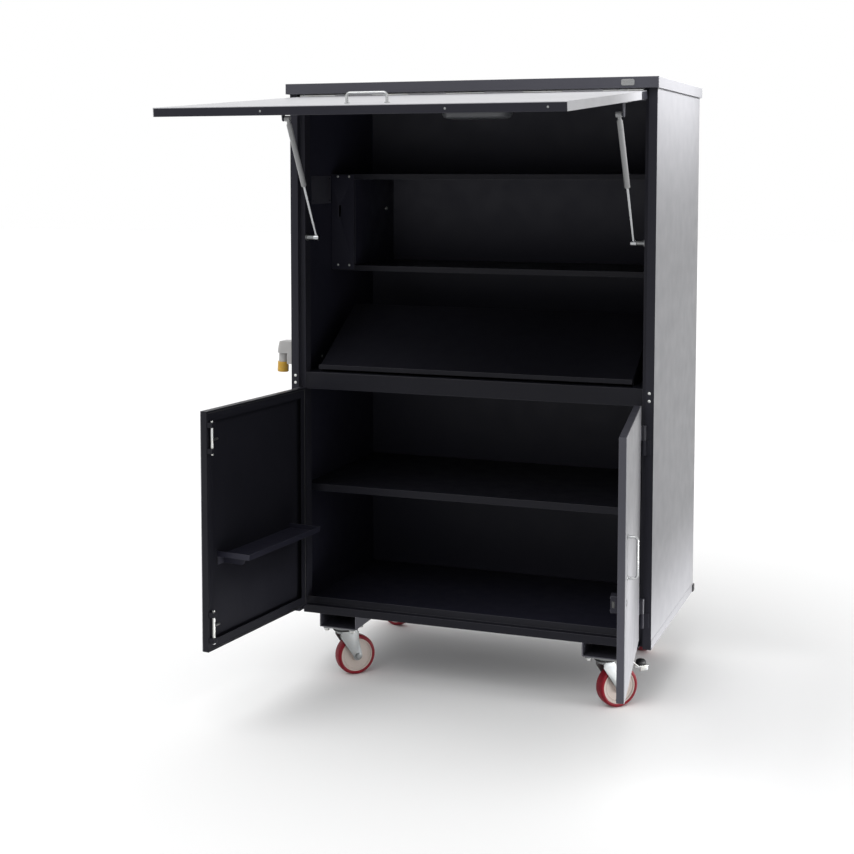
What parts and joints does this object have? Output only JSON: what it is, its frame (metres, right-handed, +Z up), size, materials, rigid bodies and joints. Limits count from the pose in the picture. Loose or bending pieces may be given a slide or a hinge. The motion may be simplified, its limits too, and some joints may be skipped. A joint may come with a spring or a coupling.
{
  "type": "site storage cabinet",
  "caption": "Tall steel site cabinet on swivel castors, with a lift-up flap on gas struts over shelves and a sloping drawing board, and lower double doors over a tool store.",
  "frame": {"origin": "middle of the floor pan's underside, between the skids", "axes": "+Z up, -Y out of the open front, +X to the right seen from the front"},
  "size_m": [1.2571, 1.5711, 1.8343],
  "materials": {
    "silver_paint": "satin silver-grey powder coat",
    "charcoal_paint": "satin charcoal powder coat",
    "zinc_plate": "zinc plated",
    "bright_steel": "bright steel",
    "strut_paint": "pale grey paint",
    "pale_plastic": "pale grey moulding",
    "yellow_plastic": "yellow moulding",
    "black_plastic": "black moulding",
    "diffuser": "frosted white moulding",
    "red_tyre": "red polyurethane tread on a pale hub"
  },
  "bodies": {
    "carcass": {"back_panel": "silver_paint", "badge_plate": "bright_steel", "drawing_board": "charcoal_paint", "flap_hinge": "zinc_plate", "floor_pan": "charcoal_paint", "front_left_castor_plate": "zinc_plate", "front_right_castor_plate": "zinc_plate", "inlet_housing": "pale_plastic", "inner_liner": "charcoal_paint", "lamp_base": "pale_plastic", "lamp_diffuser": "diffuser", "laptop_shelf": "charcoal_paint", "left_side_panel": "silver_paint", "left_skid": "charcoal_paint", "left_stile": "charcoal_paint", "left_strut_stud": "zinc_plate", "lower_shelf": "charcoal_paint", "middle_deck": "charcoal_paint", "rear_left_castor_plate": "zinc_plate", "rear_right_castor_plate": "zinc_plate", "right_side_panel": "silver_paint", "right_skid": "charcoal_paint", "right_stile": "charcoal_paint", "right_strut_stud": "zinc_plate", "roof_cap": "silver_paint", "service_column": "charcoal_paint", "service_cover": "charcoal_paint", "sill": "charcoal_paint", "top_fascia": "charcoal_paint", "upper_shelf": "charcoal_paint"},
    "flap": {"flap_skin": "silver_paint", "flap_pan": "charcoal_paint", "flap_handle": "zinc_plate", "left_strut_bracket": "charcoal_paint", "right_strut_bracket": "charcoal_paint"},
    "left_strut_lower": {"left_strut_rod": "bright_steel"},
    "left_strut_upper": {"left_strut_cylinder": "strut_paint"},
    "right_strut_lower": {"right_strut_rod": "bright_steel"},
    "right_strut_upper": {"right_strut_cylinder": "strut_paint"},
    "left_door": {"left_door_skin": "silver_paint", "left_door_pan": "charcoal_paint", "door_tray": "charcoal_paint"},
    "top_bolt": {"top_slide_bolt": "zinc_plate"},
    "bottom_bolt": {"bottom_slide_bolt": "zinc_plate"},
    "right_door": {"right_door_skin": "silver_paint", "right_door_pan": "charcoal_paint", "right_door_handle": "zinc_plate", "lock_case": "charcoal_paint"},
    "lock_tongue": {"lock_bolt": "bright_steel"},
    "inlet_lid": {"inlet_cover": "yellow_plastic"},
    "brake": {"front_right_brake_lever": "zinc_plate", "front_right_brake_pad": "black_plastic"},
    "front_left_fork_body": {"front_left_fork": "zinc_plate"},
    "front_left_wheel_body": {"front_left_wheel": "red_tyre"},
    "front_right_fork_body": {"front_right_fork": "zinc_plate"},
    "front_right_wheel_body": {"front_right_wheel": "red_tyre"},
    "rear_left_fork_body": {"rear_left_fork": "zinc_plate"},
    "rear_left_wheel_body": {"rear_left_wheel": "red_tyre"},
    "rear_right_fork_body": {"rear_right_fork": "zinc_plate"},
    "rear_right_wheel_body": {"rear_right_wheel": "red_tyre"}
  },
  "joints": [
    {"name": "flap_lift", "type": "hinge", "parent": "carcass", "child": "flap", "pos_m": [0, -0.3375, 1.5915], "axis": [1, 0, 0], "range_deg": [0, 85.7]},
    {"name": "left_strut_foot", "type": "hinge", "parent": "carcass", "child": "left_strut_lower", "pos_m": [-0.492, -0.2965, 1.1626], "axis": [1, 0, 0], "range_deg": [-34.29, 0.2]},
    {"name": "left_strut_stroke", "type": "slide", "parent": "left_strut_lower", "child": "left_strut_upper", "axis": [0, -0.4972, 0.8676], "range_m": [-0.14915, 0.0005]},
    {"name": "right_strut_foot", "type": "hinge", "parent": "carcass", "child": "right_strut_lower", "pos_m": [0.492, -0.2965, 1.1626], "axis": [1, 0, 0], "range_deg": [-34.29, 0.2]},
    {"name": "right_strut_stroke", "type": "slide", "parent": "right_strut_lower", "child": "right_strut_upper", "axis": [0, -0.4972, 0.8676], "range_m": [-0.14915, 0.0005]},
    {"name": "left_door_swing", "type": "hinge", "parent": "carcass", "child": "left_door", "pos_m": [-0.537, -0.3395, 0], "axis": [0, 0, 1], "range_deg": [-73.5, 96.5]},
    {"name": "top_bolt_throw", "type": "slide", "parent": "left_door", "child": "top_bolt", "axis": [0, 0, 1], "range_m": [0, 0.025]},
    {"name": "bottom_bolt_throw", "type": "slide", "parent": "left_door", "child": "bottom_bolt", "axis": [0, 0, -1], "range_m": [0, 0.025]},
    {"name": "right_door_swing", "type": "hinge", "parent": "carcass", "child": "right_door", "pos_m": [0.537, -0.3395, 0], "axis": [0, 0, 1], "range_deg": [-98.3, 71.7]},
    {"name": "lock_throw", "type": "slide", "parent": "right_door", "child": "lock_tongue", "axis": [0.1444, -0.9895, 0], "range_m": [0, 0.018]},
    {"name": "inlet_lid_lift", "type": "hinge", "parent": "carcass", "child": "inlet_lid", "pos_m": [-0.61274, -0.2676, 0.74446], "axis": [0.999, 0, -0.0454], "range_deg": [0, 100], "stiffness_Nm_per_rad": 0.02, "springref_deg": -34.38},
    {"name": "front_left_swivel", "type": "hinge", "parent": "carcass", "child": "front_left_fork_body", "pos_m": [-0.417, -0.2705, 0], "axis": [0, 0, 1], "continuous": true},
    {"name": "front_left_roll", "type": "hinge", "parent": "front_left_fork_body", "child": "front_left_wheel_body", "pos_m": [-0.39013, -0.24363, -0.1438], "axis": [-0.7071, 0.7071, 0], "continuous": true},
    {"name": "front_right_swivel", "type": "hinge", "parent": "carcass", "child": "front_right_fork_body", "pos_m": [0.417, -0.2705, 0], "axis": [0, 0, 1], "continuous": true},
    {"name": "front_right_roll", "type": "hinge", "parent": "front_right_fork_body", "child": "front_right_wheel_body", "pos_m": [0.44479, -0.24458, -0.1438], "axis": [-0.682, 0.7314, 0], "continuous": true},
    {"name": "rear_left_swivel", "type": "hinge", "parent": "carcass", "child": "rear_left_fork_body", "pos_m": [-0.417, 0.2705, 0], "axis": [0, 0, 1], "continuous": true},
    {"name": "rear_left_roll", "type": "hinge", "parent": "rear_left_fork_body", "child": "rear_left_wheel_body", "pos_m": [-0.45271, 0.2835, -0.1438], "axis": [-0.342, -0.9397, 0], "continuous": true},
    {"name": "rear_right_swivel", "type": "hinge", "parent": "carcass", "child": "rear_right_fork_body", "pos_m": [0.417, 0.2705, 0], "axis": [0, 0, 1], "continuous": true},
    {"name": "rear_right_roll", "type": "hinge", "parent": "rear_right_fork_body", "child": "rear_right_wheel_body", "pos_m": [0.404, 0.30621, -0.1438], "axis": [-0.9397, -0.342, 0], "continuous": true},
    {"name": "brake_press", "type": "hinge", "parent": "front_right_fork_body", "child": "brake", "pos_m": [0.45101, -0.23879, -0.0644], "axis": [-0.682, 0.7314, 0], "range_deg": [0, 10]}
  ],
  "couplings": [
    {"joint": "left_strut_foot", "follows": "flap_lift", "ratio": -0.39777},
    {"joint": "left_strut_stroke", "follows": "flap_lift", "m_per_rad": -0.099383},
    {"joint": "right_strut_foot", "follows": "flap_lift", "ratio": -0.39777},
    {"joint": "right_strut_stroke", "follows": "flap_lift", "m_per_rad": -0.099383}
  ]
}
